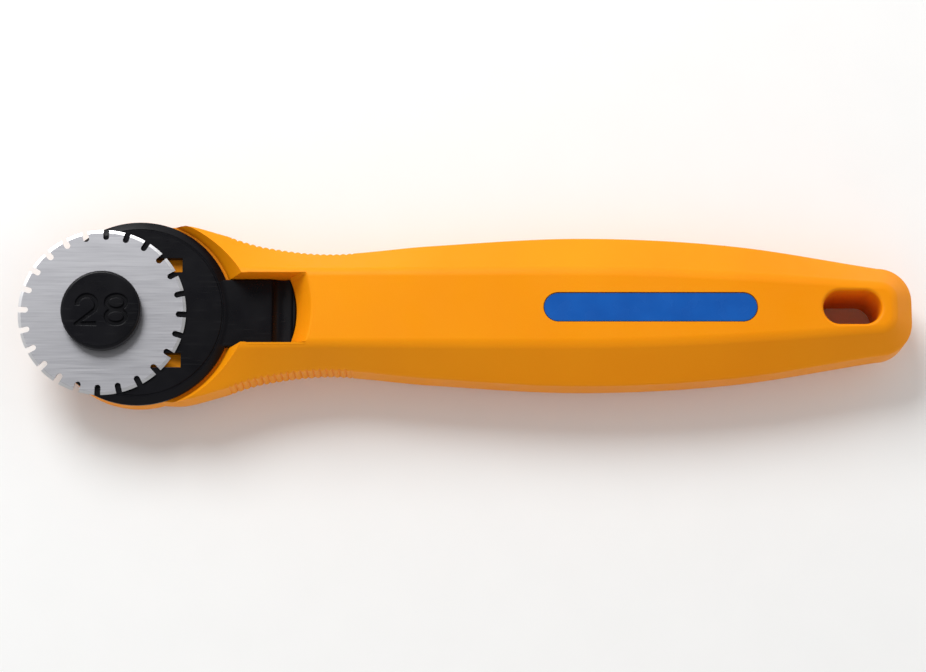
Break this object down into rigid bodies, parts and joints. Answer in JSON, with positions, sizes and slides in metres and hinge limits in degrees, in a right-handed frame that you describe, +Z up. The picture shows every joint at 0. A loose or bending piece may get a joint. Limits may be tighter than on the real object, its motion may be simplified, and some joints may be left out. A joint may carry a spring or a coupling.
{
  "type": "rotary cutter",
  "caption": "Hand rotary cutter with a slotted perforating blade, a sliding disc guard with a thumb tongue, a hand nut and a hanging hole.",
  "frame": {"origin": "on the surface that the cutter lies on, under the middle of its length and width", "axes": "+X along the handle from the blade to the hanging hole, +Z up out of the front face, +Y across"},
  "size_m": [0.1486, 0.031, 0.015],
  "materials": {
    "handle_plastic": "injection-moulded ABS, satin sheen, yellow-orange",
    "label_blue": "printed film label, plain blue",
    "black_plastic": "injection-moulded acetal, black, fine satin",
    "blade_steel": "tungsten tool steel, surface-ground, bright ground edge",
    "bolt_steel": "nickel-plated steel",
    "insert_brass": "turned brass"
  },
  "bodies": {
    "handle": {"handle_front_shell": "handle_plastic", "handle_back_shell": "handle_plastic", "label_plate": "label_blue", "pivot_bolt": "bolt_steel", "bolt_cap": "black_plastic", "spring_washer": "bolt_steel"},
    "guard": {"blade_guard": "black_plastic"},
    "blade": {"cutting_blade": "blade_steel"},
    "nut": {"nut_knob": "black_plastic", "nut_insert": "insert_brass"}
  },
  "joints": [
    {"name": "guard_slide", "type": "slide", "parent": "handle", "child": "guard", "axis": [-1, 0, 0], "range_m": [0, 0.006]},
    {"name": "blade_spin", "type": "hinge", "parent": "handle", "child": "blade", "pos_m": [-0.06035, 0, 0.0107], "axis": [0, 0, 1], "continuous": true},
    {"name": "nut_turn", "type": "hinge", "parent": "handle", "child": "nut", "pos_m": [-0.06035, 0, 0.002], "axis": [0, 0, -1], "range_deg": [0, 90]}
  ]
}
